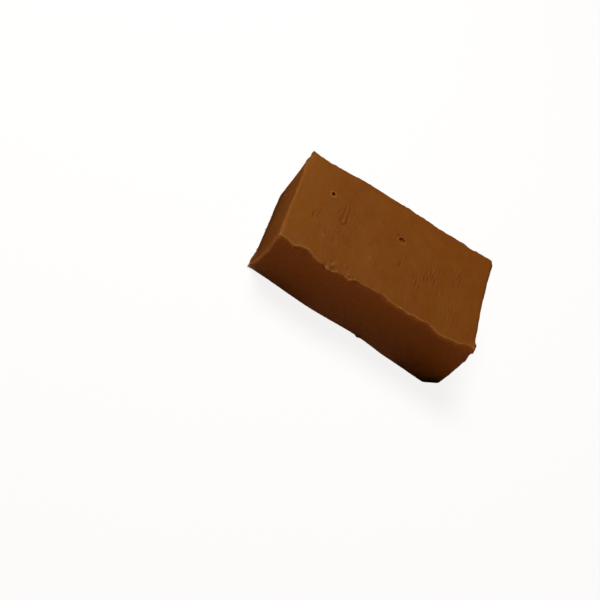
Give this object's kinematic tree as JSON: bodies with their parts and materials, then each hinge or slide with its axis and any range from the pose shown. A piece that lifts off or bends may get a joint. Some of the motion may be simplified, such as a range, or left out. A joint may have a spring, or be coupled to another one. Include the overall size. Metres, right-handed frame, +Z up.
{
  "type": "chocolate nougat block",
  "caption": "Solid hand-cut rectangular block of smooth chocolate nougat, with a wavy knife lip along one top edge, worn edges and one squashed corner.",
  "frame": {"origin": "middle of the base, under the middle of the block's bounding box", "axes": "+X along the block's length, +Y across its width away from the cut face with the lip, +Z up from the base"},
  "size_m": [0.0702, 0.0432, 0.0224],
  "materials": {
    "chocolate_nougat": "matt to satin milk-chocolate brown, smooth knife-cut faces"
  },
  "bodies": {
    "root": {"nougat_block": "chocolate_nougat"}
  },
  "joints": []
}
